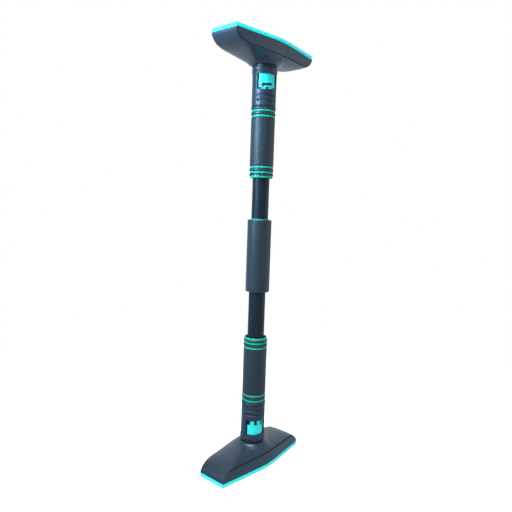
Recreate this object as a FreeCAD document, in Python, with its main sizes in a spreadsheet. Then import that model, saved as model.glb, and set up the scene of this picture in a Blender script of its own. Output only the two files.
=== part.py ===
import FreeCAD, Part
import math
import os
import Sketcher
from FreeCAD import Placement, Rotation, Vector

# A telescopic doorway pull-up bar, stood up on its lower foot.  +Z runs along the bar, X along the
# long side of the feet, and the origin is the middle of the lower pad's outer face.  Every level is
# a height above that face.  The upper end is the lower end mirrored about the bar's middle.

# ---------------------------------------------------------------- driving dimensions, millimetres
SIZES = [
    ("bar_length", 800.0, "pad face to pad face, wound fully in"),
    ("bar_middle", 400.0, "mirror level of the two ends"),
    ("pad_thickness", 6.5, "rubber pad"),
    ("foot_half_length", 111.5, "foot, centre to short end"),
    ("foot_end_half_width", 28.9, "foot, half width at the short ends"),
    ("foot_side_half_width", 40.15, "foot, half width where the long sides start to round"),
    ("foot_side_round", 25.0, "half length of the rounded middle of the long sides"),
    ("plate_top", 9.5, "top of the steel foot plate"),
    ("plate_half_length", 90.0, "steel foot plate"),
    ("plate_half_width", 23.0, "steel foot plate"),
    ("neck_top", 42.2, "rim of the foot shell round the collar"),
    ("neck_hole_radius", 22.4, "hole in the foot shell for the collar"),
    ("housing_inner_radius", 20.2, "lock housing bore"),
    ("housing_stem_radius", 22.0, "lock housing inside the foot shell"),
    ("housing_radius", 22.6, "lock housing outside"),
    ("housing_skirt_radius", 23.7, "lock housing, flared part next to the foot"),
    ("housing_flange_radius", 34.0, "lock housing, screwed flange"),
    ("housing_top", 116.3, "end of the lock housing"),
    ("window_bottom", 58.8, "lock window, edge next to the foot"),
    ("window_top", 87.0, "lock window, edge next to the grip"),
    ("window_low_corner", 3.0, "lock window, corner radius next to the foot"),
    ("window_high_corner", 1.6, "lock window, corner radius next to the grip"),
    ("grip_groove_first", 98.2, "first finger groove round the housing"),
    ("grip_groove_second", 107.2, "second finger groove"),
    ("spindle_radius", 10.0, "steel spindle the sleeve turns on"),
    ("spindle_shoulder_radius", 12.5, "spindle below the bearing"),
    ("spindle_shoulder", 45.0, "level of the spindle's shoulder"),
    ("spindle_top", 72.0, "end of the spindle"),
    ("hub_bore_radius", 10.05, "bearing hub, running fit on the spindle"),
    ("hub_bottom", 48.0, "bearing hub"),
    ("hub_top", 68.0, "bearing hub"),
    ("sleeve_bore_radius", 16.5, "outer tube bore"),
    ("sleeve_radius", 18.0, "outer tube outside"),
    ("sleeve_top", 228.0, "end of the outer tube"),
    ("screw_radius", 7.0, "drive screw"),
    ("screw_collar_top", 95.0, "thrust collar of the drive screw"),
    ("screw_top", 224.0, "free end of the drive screw"),
    ("nut_bore_radius", 7.05, "drive nut"),
    ("tube_bottom", 100.0, "end of the inner tube"),
    ("tube_bore_radius", 14.5, "inner tube bore"),
    ("tube_radius", 16.0, "inner tube outside"),
    ("bush_bore_radius", 16.05, "guide bush, running fit on the inner tube"),
    ("tooth_tip", 95.0, "teeth of the lock ring, tip"),
    ("tooth_root", 103.5, "teeth of the lock ring, root"),
    ("lock_ring_radius", 19.8, "lock ring outside"),
    ("slider_inner_radius", 18.35, "lock slider inside"),
    ("slider_radius", 19.85, "lock slider outside"),
    ("slider_tail", 47.0, "lock slider, end next to the foot"),
    ("slider_root", 77.0, "lock slider, bottom of the slots"),
    ("slider_tip", 87.5, "lock slider, tips of the teeth"),
    ("slider_reach", 6.3, "how far the upper slider stands towards its ring"),
    ("joint_top", 117.0, "lower edge of the ring carrier, where the sleeve turns in the housing"),
    ("carrier_radius", 22.8, "ring carrier and end cap outside"),
    ("ring_radius", 22.2, "accent rings outside"),
    ("grip_radius", 22.4, "end grips outside"),
    ("grip_bottom", 137.0, "end grip"),
    ("grip_top", 226.2, "end grip"),
    ("cap_top", 243.8, "end cap"),
    ("end_ring_top", 248.0, "rounded ring at the mouth of the sleeve"),
    ("end_ring_radius", 21.7, "rounded ring outside"),
    ("centre_grip_bottom", 336.5, "centre grip"),
    ("centre_grip_top", 473.5, "centre grip"),
    ("centre_grip_radius", 22.8, "centre grip outside"),
    ("liner_radius", 17.3, "thin liner under the centre grip"),
    ("liner_top", 475.5, "liner, showing above the grip"),
]
SIZE = {alias: number for alias, number, note in SIZES}

WINDOW_AZIMUTH = -120.25         # which way the lock window faces, degrees from +X
WINDOW_ANGLE = 111.5             # how far the window reaches round the housing, degrees
SLIDER_AZIMUTH = -119.0          # which way the middle of the slider faces, degrees
SLIDER_ANGLE = 104.0             # how far the slider reaches round the sleeve, degrees
SLOT_AZIMUTH = -123.5            # which way the slider's middle slot faces, degrees
SLOT_ANGLE = 16.5                # width of one slot in the slider, degrees
LOCK_TEETH = 9                   # teeth all round the lock ring
TOOTH_ANGLE = 14.0               # width of one ring tooth, degrees
ACCENT_RINGS = (123.1, 133.0, 226.4, 235.9)   # lower edge of each accent ring
RING_HEIGHT = 3.8                # height of an accent ring

# The foot shell's sections: distance in from the short end, height of the crease between the side
# wall and the top, and how far the crown stands above that crease.
SHELL_STATIONS = (
    (0.0, 9.8, 0.4),
    (1.2, 12.4, 0.5),
    (3.0, 15.2, 0.7),
    (5.5, 18.0, 0.9),
    (8.0, 20.2, 1.1),
    (11.0, 22.2, 1.3),
    (14.0, 23.7, 1.6),
    (18.0, 25.1, 2.0),
    (22.0, 25.9, 2.5),
    (28.0, 26.7, 3.3),
    (35.0, 27.2, 4.2),
    (55.0, 27.6, 6.4),
    (86.5, 28.5, 10.4),
    (98.0, 29.2, 11.0),
    (111.5, 29.6, 11.0),
)
SHELL_WALL = 3.0
CROWN_SHARES = (1.0, 0.6, 0.2, -0.2, -0.6, -1.0)      # points across the crown
SIDE_LEAN = math.tan(math.radians(1.5))       # draft of the side walls
SHELL_SCREWS = ((72.0, 15.0), (-72.0, 15.0), (-72.0, -15.0), (72.0, -15.0))
HOUSING_SCREWS = ((25.0, 14.5), (-25.0, 14.5), (-25.0, -14.5), (25.0, -14.5))

doc = FreeCAD.newDocument("pull_up_bar")
sheet = doc.addObject("Spreadsheet::Sheet", "Sheet")
for row, (alias, number, note) in enumerate(SIZES, start=1):
    sheet.set("A%d" % row, alias)
    sheet.set("B%d" % row, str(number))
    sheet.set("C%d" % row, note)
    sheet.setAlias("B%d" % row, alias)
doc.recompute()


# ---------------------------------------------------------------- sketches and features
def resolve(value):
    """A coordinate is a number, the alias of a cell, or (alias, amount to add)."""
    if isinstance(value, str):
        return SIZE[value], "Sheet." + value
    if isinstance(value, tuple):
        return SIZE[value[0]] + value[1], "Sheet.%s + %s" % (value[0], repr(value[1]))
    return float(value), None


def add_sketch(body, name, plane, offset=None):
    sketch = body.newObject("Sketcher::SketchObject", name)
    origin = [f for f in body.Origin.OriginFeatures if f.Role == plane][0]
    sketch.AttachmentSupport = [(origin, "")]
    sketch.MapMode = "FlatFace"
    if offset is not None:
        sketch.AttachmentOffset = offset
    return sketch


def place_vertex(sketch, geometry, point):
    """Fix the start of one edge at a pair of coordinates."""
    for kind, axis, value in (("DistanceX", -2, point[0]), ("DistanceY", -1, point[1])):
        number, expression = resolve(value)
        if number == 0.0:
            sketch.addConstraint(Sketcher.Constraint("PointOnObject", geometry, 1, axis))
            continue
        index = sketch.addConstraint(Sketcher.Constraint(kind, -1, 1, geometry, 1, number))
        if expression:
            sketch.setExpression("Constraints[%d]" % index, expression)


def draw_outline(sketch, points, arcs=None):
    """Closed outline through points; arcs maps an edge's index to a point its arc goes through."""
    arcs = arcs or {}
    first = sketch.GeometryCount
    spots = [Vector(resolve(x)[0], resolve(y)[0], 0) for x, y in points]
    count = len(spots)
    for i, spot in enumerate(spots):
        following = spots[(i + 1) % count]
        if i in arcs:
            sketch.addGeometry(Part.Arc(spot, Vector(*arcs[i], 0), following), False)
        else:
            sketch.addGeometry(Part.LineSegment(spot, following), False)
    for i in range(count):
        following = (i + 1) % count
        sketch.addConstraint(Sketcher.Constraint("Coincident", first + i, 2, first + following, 1))
    for i, point in enumerate(points):
        place_vertex(sketch, first + i, point)
        if i in arcs:
            radius = sketch.Geometry[first + i].Radius
            sketch.addConstraint(Sketcher.Constraint("Radius", first + i, radius))


def draw_circle(sketch, centre, radius):
    index = sketch.addGeometry(Part.Circle(Vector(*centre, 0), Vector(0, 0, 1), radius), False)
    for kind, number, axis in (("DistanceX", centre[0], -2), ("DistanceY", centre[1], -1)):
        if number == 0.0:
            sketch.addConstraint(Sketcher.Constraint("PointOnObject", index, 3, axis))
        else:
            sketch.addConstraint(Sketcher.Constraint(kind, -1, 1, index, 3, number))
    sketch.addConstraint(Sketcher.Constraint("Radius", index, radius))


def half_plane(azimuth):
    """Turns a sketch on the XZ plane about +Z, so that its X side points along the azimuth."""
    return Placement(Vector(), Rotation(Vector(0, 1, 0), azimuth))


def revolve(body, kind, name, outlines, azimuth=0.0, angle=360.0):
    """Revolution or Groove of (radius, level) outlines about the bar's axis."""
    sketch = add_sketch(body, name + "_profile", "XZ_Plane", half_plane(azimuth))
    for outline in outlines:
        draw_outline(sketch, outline)
    feature = body.newObject("PartDesign::" + kind, name)
    feature.Profile = sketch
    feature.ReferenceAxis = (sketch, ["V_Axis"])
    feature.Angle = angle
    feature.Midplane = angle < 360.0
    return feature


def new_body(name):
    body = doc.addObject("PartDesign::Body", name)
    body.Label = name
    return body


def turned(name, *outlines):
    """A piece turned about the bar's axis."""
    body = new_body(name)
    revolve(body, "Revolution", name + "_turn", outlines)
    return body


def drilled(name, blank, drills):
    """The blank with every hole that its pins or screws fill."""
    cut = doc.addObject("Part::Cut", name)
    cut.Base = blank
    cut.Tool = drills
    cut.Label = name
    return cut


def cylinder(name, radius, length, base, axis=Vector(0, 0, 1)):
    rod = doc.addObject("Part::Cylinder", name)
    rod.Radius = radius
    rod.Height = length
    rod.Placement = Placement(base, Rotation(Vector(0, 0, 1), axis))
    return rod


def group(name, members):
    """Several identical pieces kept as separate solids of one node."""
    compound = doc.addObject("Part::Compound", name)
    compound.Links = members
    compound.Label = name
    return compound


def screws(name, spots, head_base, head_radius, head_height, shank_radius, shank_length):
    """Socket-head screws; the shank points up when head_height is negative, else down."""
    members = []
    for number, (x, y) in enumerate(spots, start=1):
        tag = "%s_%d" % (name, number)
        up = Vector(0, 0, -1) if head_height < 0 else Vector(0, 0, 1)
        base = Vector(x, y, head_base)
        head = cylinder(tag + "_head", head_radius, abs(head_height), base, up)
        shank = cylinder(tag + "_shank", shank_radius, shank_length, base, -up)
        socket_depth = abs(head_height) * 0.6
        socket = doc.addObject("Part::Prism", tag + "_socket")
        socket.Polygon = 6
        socket.Circumradius = head_radius * 0.5
        socket.Height = socket_depth
        socket_base = base + up * (abs(head_height) - socket_depth)
        socket.Placement = Placement(socket_base, Rotation(Vector(0, 0, 1), up))
        solid = doc.addObject("Part::Fuse", tag + "_solid")
        solid.Base = head
        solid.Tool = shank
        screw = doc.addObject("Part::Cut", tag)
        screw.Base = solid
        screw.Tool = socket
        members.append(screw)
    return group(name, members)


pieces = []


# ---------------------------------------------------------------- foot
def foot_outline():
    a, b = SIZE["foot_half_length"], SIZE["foot_end_half_width"]
    w, r = SIZE["foot_side_half_width"], SIZE["foot_side_round"]
    crown = w + (w - b) / (a - r) * r / 2.0
    points = []
    for sx, sy in ((1, -1), (1, 1), (-1, 1), (-1, -1)):
        corner = (a * sx, b * sy)
        start = (r * sx, w * sy)
        points += [start, corner] if sx == -sy else [corner, start]
    return points, {3: (0.0, crown), 7: (0.0, -crown)}


# Rubber pad, the sheet that grips the door jamb, with pockets over the screw heads of the plate.
pad = new_body("lower_foot_pad")
pad_sketch = add_sketch(pad, "pad_outline", "XY_Plane")
draw_outline(pad_sketch, *foot_outline())
pad_block = pad.newObject("PartDesign::Pad", "pad_block")
pad_block.Profile = pad_sketch
pad_block.setExpression("Length", "Sheet.pad_thickness")
doc.recompute()
pocket_offset = Placement(Vector(0, 0, SIZE["pad_thickness"]), Rotation())
pocket_sketch = add_sketch(pad, "pad_pocket_circles", "XY_Plane", pocket_offset)
for spot in SHELL_SCREWS:
    draw_circle(pocket_sketch, spot, 4.2)
pad_pockets = pad.newObject("PartDesign::Pocket", "pad_pockets")
pad_pockets.Profile = pocket_sketch
pad_pockets.Length = 2.8
pieces.append(pad)

# Steel plate that carries the load from the spindle into the pad.
plate = new_body("foot_plate_blank")
plate_sketch = add_sketch(plate, "plate_outline", "XY_Plane",
                          Placement(Vector(0, 0, SIZE["pad_thickness"]), Rotation()))
length, width, chamfer = SIZE["plate_half_length"], SIZE["plate_half_width"], 8.0
draw_outline(plate_sketch, [
    (length, -width + chamfer), (length, width - chamfer), (length - chamfer, width),
    (-length + chamfer, width), (-length, width - chamfer), (-length, -width + chamfer),
    (-length + chamfer, -width), (length - chamfer, -width)])
plate_block = plate.newObject("PartDesign::Pad", "plate_block")
plate_block.Profile = plate_sketch
plate_block.setExpression("Length", "Sheet.plate_top - Sheet.pad_thickness")

shell_screws = screws("lower_shell_screws", SHELL_SCREWS, SIZE["pad_thickness"],
                      3.8, -2.4, 2.0, 14.0)
housing_screws = screws("lower_housing_screws", HOUSING_SCREWS, 12.5, 3.8, 3.6, 2.0, 6.0)
plate_screws = group("plate_screws", [shell_screws, housing_screws])
foot_plate = drilled("lower_foot_plate", plate, plate_screws)
pieces += [foot_plate, shell_screws, housing_screws]


# Moulded foot shell: two lofted halves, a flared neck round the collar, hollow underneath.
def shell_section(body, name, station, height, crown, wall):
    a, b = SIZE["foot_half_length"], SIZE["foot_end_half_width"]
    w, r = SIZE["foot_side_half_width"], SIZE["foot_side_round"]
    x = a - station
    slope = (w - b) / (a - r)
    half = b + slope * (a - max(x, r)) + (slope * (r * r - x * x) / (2 * r) if x < r else 0.0)
    low = SIZE["pad_thickness"]
    foot_half = half - wall
    top = height - wall
    crease_half = foot_half - (top - low) * SIDE_LEAN
    offset = Placement(Vector(0, 0, x), Rotation())
    sketch = add_sketch(body, name, "YZ_Plane", offset)
    points = [(-foot_half, "pad_thickness"), (foot_half, "pad_thickness")]
    for share in CROWN_SHARES:
        points.append((crease_half * share, top + crown * (1.0 - share * share)))
    draw_outline(sketch, points)
    return sketch


def shell_loft(body, kind, name, stations, wall):
    sections = []
    for number, (station, height, crown) in enumerate(stations, start=1):
        title = "%s_section_%d" % (name, number)
        sections.append(shell_section(body, title, station, height, crown, wall))
    loft = body.newObject("PartDesign::" + kind, name)
    loft.Profile = sections[0]
    loft.Sections = sections[1:]
    loft.Ruled = True
    doc.recompute()
    mirrored = body.newObject("PartDesign::Mirrored", name + "_other_half")
    mirrored.Originals = [loft]
    plane = [f for f in body.Origin.OriginFeatures if f.Role == "YZ_Plane"][0]
    mirrored.MirrorPlane = (plane, [""])
    body.Tip = mirrored
    doc.recompute()


shell = new_body("lower_foot_shell")
shell_loft(shell, "AdditiveLoft", "shell_outside", SHELL_STATIONS, 0.0)
revolve(shell, "Revolution", "shell_neck", [[
    (0.0, 26.0), (34.0, 26.0), (36.6, 32.2), (32.0, 36.7), (28.2, 39.2), (26.2, 40.9),
    (24.9, "neck_top"), (0.0, "neck_top")]])
doc.recompute()
cavity = [(3.6, 14.6, 0.8)] + list(SHELL_STATIONS[4:])
shell_loft(shell, "SubtractiveLoft", "shell_inside", cavity, SHELL_WALL)
revolve(shell, "Groove", "shell_neck_bore", [[
    (0.0, 15.0), (33.0, 15.0), (33.0, 26.5), (27.5, 32.0), (24.4, 36.0), ("neck_hole_radius", 40.0),
    ("neck_hole_radius", ("neck_top", 1.0)), (0.0, ("neck_top", 1.0))]])
doc.recompute()
boss_offset = Placement(Vector(0, 0, SIZE["plate_top"]), Rotation())
boss_sketch = add_sketch(shell, "shell_boss_circles", "XY_Plane", boss_offset)
for spot in SHELL_SCREWS:
    draw_circle(boss_sketch, spot, 4.5)
bosses = shell.newObject("PartDesign::Pad", "shell_bosses")
bosses.Profile = boss_sketch
bosses.Length = 19.0
doc.recompute()
hole_sketch = add_sketch(shell, "shell_screw_circles", "XY_Plane", boss_offset)
for spot in SHELL_SCREWS:
    draw_circle(hole_sketch, spot, 2.0)
holes = shell.newObject("PartDesign::Pocket", "shell_screw_holes")
holes.Profile = hole_sketch
holes.Length = 12.0
holes.Reversed = True
pieces.append(shell)

# ---------------------------------------------------------------- spindle and lock housing
# Steel spindle welded on the plate: the sleeve turns on its upper part.
pieces.append(turned("lower_foot_spindle", [
    (0.0, "plate_top"), (16.0, "plate_top"), (16.0, 13.0), ("spindle_shoulder_radius", 15.0),
    ("spindle_shoulder_radius", "spindle_shoulder"), ("spindle_radius", "spindle_shoulder"),
    ("spindle_radius", 68.4), (8.8, 68.4), (8.8, 69.9), ("spindle_radius", 69.9),
    ("spindle_radius", 71.2), (9.2, "spindle_top"), (0.0, "spindle_top")]))

# Hard plastic washer between the spindle's shoulder and the bearing hub.
pieces.append(turned("lower_thrust_washer", [
    (10.2, "spindle_shoulder"), (16.0, "spindle_shoulder"), (16.0, 47.7), (10.2, 47.7)]))

# Spring-steel ring in the spindle's groove, which keeps the sleeve on; open at one side.
circlip = new_body("lower_circlip")
revolve(circlip, "Revolution", "circlip_ring", [[
    (8.8, 68.4), (13.4, 68.4), (13.4, 69.9), (8.8, 69.9)]], 90.0, 318.0)
pieces.append(circlip)

def radial_edges(shape, level):
    """Names of the short edges through the housing's wall at one level of the window."""
    names = []
    for number, edge in enumerate(shape.Edges, start=1):
        if edge.Length < 3.0 and all(abs(v.Z - level) < 0.01 for v in edge.Vertexes):
            names.append("Edge%d" % number)
    return names


# Lock housing: a moulded collar with a screwed flange hidden in the foot, a window for the lock
# slider, two finger grooves on each face, and a rib inside at each side of the slider's tail.
housing = new_body("housing_blank")
revolve(housing, "Revolution", "housing_turn", [[
    ("housing_inner_radius", "plate_top"), ("housing_flange_radius", "plate_top"),
    ("housing_flange_radius", 12.5), ("housing_stem_radius", 12.5), ("housing_stem_radius", 41.0),
    (21.3, 41.7), (21.3, 46.8), ("housing_skirt_radius", 47.4), ("housing_skirt_radius", 54.6),
    (23.0, 55.4), (22.9, 57.0), ("housing_radius", 72.0), ("housing_radius", ("housing_top", -0.6)),
    (22.0, "housing_top"), ("housing_inner_radius", "housing_top")]])
doc.recompute()
solid_volume = housing.Shape.Volume
revolve(housing, "Groove", "window", [[
    (19.0, "window_bottom"), (24.0, "window_bottom"), (24.0, "window_top"), (19.0, "window_top")]],
    WINDOW_AZIMUTH, WINDOW_ANGLE)
doc.recompute()
for edge_level, radius_cell in (("window_bottom", "window_low_corner"),
                                ("window_top", "window_high_corner")):
    uncut = housing.Tip
    corner_edges = radial_edges(uncut.Shape, SIZE[edge_level])
    rounding = housing.newObject("PartDesign::Fillet", edge_level + "_corners")
    rounding.Base = (uncut, corner_edges)
    rounding.setExpression("Radius", "Sheet." + radius_cell)
    doc.recompute()
for side, azimuth in (("front", WINDOW_AZIMUTH), ("back", WINDOW_AZIMUTH + 180.0)):
    for title, level in (("first", "grip_groove_first"), ("second", "grip_groove_second")):
        revolve(housing, "Groove", "groove_%s_%s" % (side, title), [[
            (21.1, (level, -1.1)), (23.2, (level, -2.7)), (23.2, (level, 2.7)),
            (21.1, (level, 1.1))]], azimuth, WINDOW_ANGLE)
        doc.recompute()
for side, turn in (("left", -1.0), ("right", 1.0)):
    revolve(housing, "Revolution", "guide_rib_" + side, [[
        (18.7, "slider_tail"), (20.5, "slider_tail"), (20.5, 57.6), (18.7, 57.6)]],
        SLIDER_AZIMUTH + turn * (SLIDER_ANGLE / 2.0 + 2.6), 3.0)
    doc.recompute()
lock_housing = drilled("lower_lock_housing", housing, housing_screws)
pieces.append(lock_housing)

# Leaf spring clipped inside the housing beside the slider, which holds the slider where it is put.
lock_spring = new_body("lower_lock_spring")
revolve(lock_spring, "Revolution", "lock_spring_strip", [[
    (18.7, 59.0), ("housing_inner_radius", 59.0), ("housing_inner_radius", 86.0), (18.7, 86.0)]],
    SLIDER_AZIMUTH + 56.8, 2.2)
pieces.append(lock_spring)

# Lock slider: a curved plate behind the window, with slots that take the teeth of the lock ring.
slider = new_body("lower_lock_slider")
revolve(slider, "Revolution", "slider_plate", [[
    ("slider_inner_radius", "slider_tail"), ("slider_radius", "slider_tail"),
    ("slider_radius", "slider_tip"), ("slider_inner_radius", "slider_tip")]],
    SLIDER_AZIMUTH, SLIDER_ANGLE)
doc.recompute()
for number in (-1, 0, 1):
    revolve(slider, "Groove", "slider_slot_%d" % (number + 2), [[
        (17.5, "slider_root"), (20.5, "slider_root"), (20.5, ("slider_tip", 1.0)),
        (17.5, ("slider_tip", 1.0))]], SLOT_AZIMUTH + number * 360.0 / LOCK_TEETH, SLOT_ANGLE)
    doc.recompute()
pieces.append(slider)

# ---------------------------------------------------------------- turning sleeve
# Pins: two short ones hold the hub, one crosses the tube, the plug and the drive screw.
hub_pins = group("lower_hub_pins", [
    cylinder("hub_pin_%d" % (n + 1), 1.5, 5.9, Vector(12.0 * s, 0, 58.0), Vector(s, 0, 0))
    for n, s in enumerate((1, -1))])
drive_pin = cylinder("lower_drive_pin", 2.0, 35.8, Vector(-17.9, 0, 85.0), Vector(1, 0, 0))
drive_pin.Label = "lower_drive_pin"
sleeve_pins = group("sleeve_pins", [hub_pins, drive_pin])

# Steel outer tube of the sleeve.
outer_blank = turned("outer_tube_blank", [
    ("sleeve_bore_radius", "hub_bottom"), ("sleeve_radius", "hub_bottom"),
    ("sleeve_radius", "sleeve_top"), ("sleeve_bore_radius", "sleeve_top")])
pieces.append(drilled("lower_outer_tube", outer_blank, sleeve_pins))

# Bearing hub pressed into the foot end of the tube.
hub_blank = turned("hub_blank", [
    ("hub_bore_radius", "hub_bottom"), ("sleeve_bore_radius", "hub_bottom"),
    ("sleeve_bore_radius", "hub_top"), ("hub_bore_radius", "hub_top")])
pieces += [drilled("lower_bearing_hub", hub_blank, hub_pins), hub_pins, drive_pin]

# Plug that centres the drive screw in the tube, and the screw itself with its thrust collar.
plug_blank = turned("plug_blank", [
    ("screw_radius", 78.0), ("sleeve_bore_radius", 78.0), ("sleeve_bore_radius", 92.0),
    ("screw_radius", 92.0)])
pieces.append(drilled("lower_screw_plug", plug_blank, drive_pin))
screw_blank = turned("screw_blank", [
    (0.0, 75.0), (10.5, 75.0), (10.5, 78.0), ("screw_radius", 78.0), ("screw_radius", 92.0),
    (10.5, 92.0), (10.5, "screw_collar_top"), ("screw_radius", "screw_collar_top"),
    ("screw_radius", ("screw_top", -1.5)), (5.5, "screw_top"), (0.0, "screw_top")])
pieces.append(drilled("lower_drive_screw", screw_blank, drive_pin))

# Lock ring welded on the tube: its teeth point towards the foot and the slider.
ring = new_body("lower_lock_ring")
revolve(ring, "Revolution", "ring_base", [[
    ("sleeve_radius", "tooth_root"), ("lock_ring_radius", "tooth_root"),
    ("lock_ring_radius", 110.5), ("sleeve_radius", 110.5)]])
doc.recompute()
tooth = revolve(ring, "Revolution", "ring_tooth", [[
    ("sleeve_radius", "tooth_tip"), ("lock_ring_radius", "tooth_tip"),
    ("lock_ring_radius", ("tooth_root", 1.0)), ("sleeve_radius", ("tooth_root", 1.0))]],
    SLOT_AZIMUTH, TOOTH_ANGLE)
doc.recompute()
teeth = ring.newObject("PartDesign::PolarPattern", "ring_teeth")
teeth.Originals = [tooth]
z_axis = [f for f in ring.Origin.OriginFeatures if f.Role == "Z_Axis"][0]
teeth.Axis = (z_axis, [""])
teeth.Angle = 360.0
teeth.Occurrences = LOCK_TEETH
ring.Tip = teeth
doc.recompute()
pieces.append(ring)

# Ring carrier, the moulded end flange of the grip, with seats for two accent rings.
ring_1, ring_2, ring_3, ring_4 = ACCENT_RINGS
SEAT_RADIUS = 20.2
pieces.append(turned("lower_ring_carrier", [
    ("sleeve_radius", 111.0), (19.7, 111.0), (19.7, 116.6), (22.0, "joint_top"),
    (23.4, 117.6), (23.4, 119.0), (22.5, 120.2), ("carrier_radius", ring_1 - 0.6),
    (22.0, ring_1), (SEAT_RADIUS, ring_1), (SEAT_RADIUS, ring_1 + RING_HEIGHT),
    (22.0, ring_1 + RING_HEIGHT), ("carrier_radius", ring_1 + RING_HEIGHT + 0.8),
    ("carrier_radius", ring_2 - 0.8), (22.0, ring_2), (SEAT_RADIUS, ring_2),
    (SEAT_RADIUS, "grip_bottom"), ("sleeve_radius", "grip_bottom")]))

# End cap at the mouth of the sleeve, with seats for the other two accent rings.
pieces.append(turned("lower_end_cap", [
    ("sleeve_radius", "grip_top"), (SEAT_RADIUS, "grip_top"), (SEAT_RADIUS, ring_3 + RING_HEIGHT),
    (22.0, ring_3 + RING_HEIGHT), ("carrier_radius", ring_3 + RING_HEIGHT + 0.8),
    ("carrier_radius", ring_4 - 0.8), (22.0, ring_4), (SEAT_RADIUS, ring_4),
    (SEAT_RADIUS, ring_4 + RING_HEIGHT), (22.0, ring_4 + RING_HEIGHT),
    ("carrier_radius", ring_4 + RING_HEIGHT + 0.8), ("carrier_radius", "cap_top"),
    ("sleeve_radius", "cap_top")]))


def accent_ring(name, level):
    return turned(name, [
        (SEAT_RADIUS, level), (21.8, level), ("ring_radius", level + 0.5),
        ("ring_radius", level + RING_HEIGHT - 0.5), (21.8, level + RING_HEIGHT),
        (SEAT_RADIUS, level + RING_HEIGHT)])


pieces.append(group("lower_carrier_rings", [
    accent_ring("accent_ring_1", ring_1), accent_ring("accent_ring_2", ring_2)]))
pieces.append(group("lower_cap_rings", [
    accent_ring("accent_ring_3", ring_3), accent_ring("accent_ring_4", ring_4)]))

# Soft cover of the end grip, drawn over the outer tube.
pieces.append(turned("lower_end_grip", [
    ("sleeve_radius", "grip_bottom"), (22.1, "grip_bottom"), ("grip_radius", ("grip_bottom", 0.8)),
    ("grip_radius", ("grip_top", -0.8)), (22.1, "grip_top"), ("sleeve_radius", "grip_top")]))

# Rounded ring that closes the mouth of the sleeve, clear of the inner tube.
pieces.append(turned("lower_end_ring", [
    (19.7, "cap_top"), ("end_ring_radius", "cap_top"), ("end_ring_radius", ("end_ring_top", -1.4)),
    (21.3, ("end_ring_top", -0.4)), (20.7, "end_ring_top"), (20.1, ("end_ring_top", -0.3)),
    (19.7, ("end_ring_top", -1.2))]))

# Plastic guide bush: a thin skirt inside the outer tube and a thick end under the cap.
pieces.append(turned("lower_guide_bush", [
    ("bush_bore_radius", 206.0), ("sleeve_bore_radius", 206.0), ("sleeve_bore_radius", "sleeve_top"),
    ("sleeve_radius", "sleeve_top"), ("sleeve_radius", 243.0), ("bush_bore_radius", 243.0)]))

# ---------------------------------------------------------------- nut in the inner tube
nut_pins = group("lower_nut_pins", [
    cylinder("nut_pin_%d" % (n + 1), 1.5, 6.9, Vector(9.0 * s, 0, 110.0), Vector(s, 0, 0))
    for n, s in enumerate((1, -1))])
nut_blank = turned("nut_blank", [
    ("nut_bore_radius", 97.0), ("tube_radius", 97.0), ("tube_radius", "tube_bottom"),
    ("tube_bore_radius", "tube_bottom"), ("tube_bore_radius", 122.0), ("nut_bore_radius", 122.0)])
pieces += [drilled("lower_drive_nut", nut_blank, nut_pins), nut_pins]

# ---------------------------------------------------------------- the upper end, mirrored
middle_plane = Vector(0, 0, SIZE["bar_middle"])
upper_pieces = []
for piece in pieces:
    twin = doc.addObject("Part::Mirroring", piece.Label.replace("lower_", "upper_"))
    twin.Label = piece.Label.replace("lower_", "upper_")
    twin.Source = piece
    twin.Normal = Vector(0, 0, 1)
    twin.Base = middle_plane
    twin.setExpression("Base.z", "Sheet.bar_middle")
    if twin.Label == "upper_lock_slider":
        twin.setExpression("Placement.Base.z", "-Sheet.slider_reach")
    upper_pieces.append(twin)

# ---------------------------------------------------------------- middle tube and its grip
tube_top = SIZE["bar_length"] - SIZE["tube_bottom"]
tube_blank = turned("inner_tube_blank", [
    ("tube_bore_radius", "tube_bottom"), ("tube_radius", "tube_bottom"), ("tube_radius", tube_top),
    ("tube_bore_radius", tube_top)])
tube_pins = group("tube_pins", [nut_pins] + [p for p in upper_pieces if p.Label == "upper_nut_pins"])
inner_tube = drilled("inner_tube", tube_blank, tube_pins)
grip_liner = turned("grip_liner", [
    ("tube_radius", "centre_grip_bottom"), ("liner_radius", "centre_grip_bottom"),
    ("liner_radius", ("liner_top", -0.4)), (17.0, "liner_top"), ("tube_radius", "liner_top")])
centre_grip = turned("centre_grip", [
    ("liner_radius", "centre_grip_bottom"), (22.0, "centre_grip_bottom"),
    ("centre_grip_radius", ("centre_grip_bottom", 0.8)),
    ("centre_grip_radius", ("centre_grip_top", -0.8)),
    (22.0, "centre_grip_top"), ("liner_radius", "centre_grip_top")])

doc.recompute()

# ---------------------------------------------------------------- check and write
for item in doc.Objects:
    if "Invalid" in item.State or "Error" in item.State:
        raise RuntimeError("%s did not recompute: %s" % (item.Name, item.State))
if housing.Shape.Volume >= solid_volume:
    raise RuntimeError("the window and grooves cut nothing")

os.makedirs("parts", exist_ok=True)
for piece in pieces + upper_pieces + [inner_tube, grip_liner, centre_grip]:
    if piece.Shape.isNull() or not piece.Shape.isValid() or piece.Shape.Volume <= 0:
        raise RuntimeError("%s has no valid solid" % piece.Label)
    piece.Shape.exportStep("parts/%s.step" % piece.Label)
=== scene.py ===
import math
import bpy
from mathutils import Matrix, Vector


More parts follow.
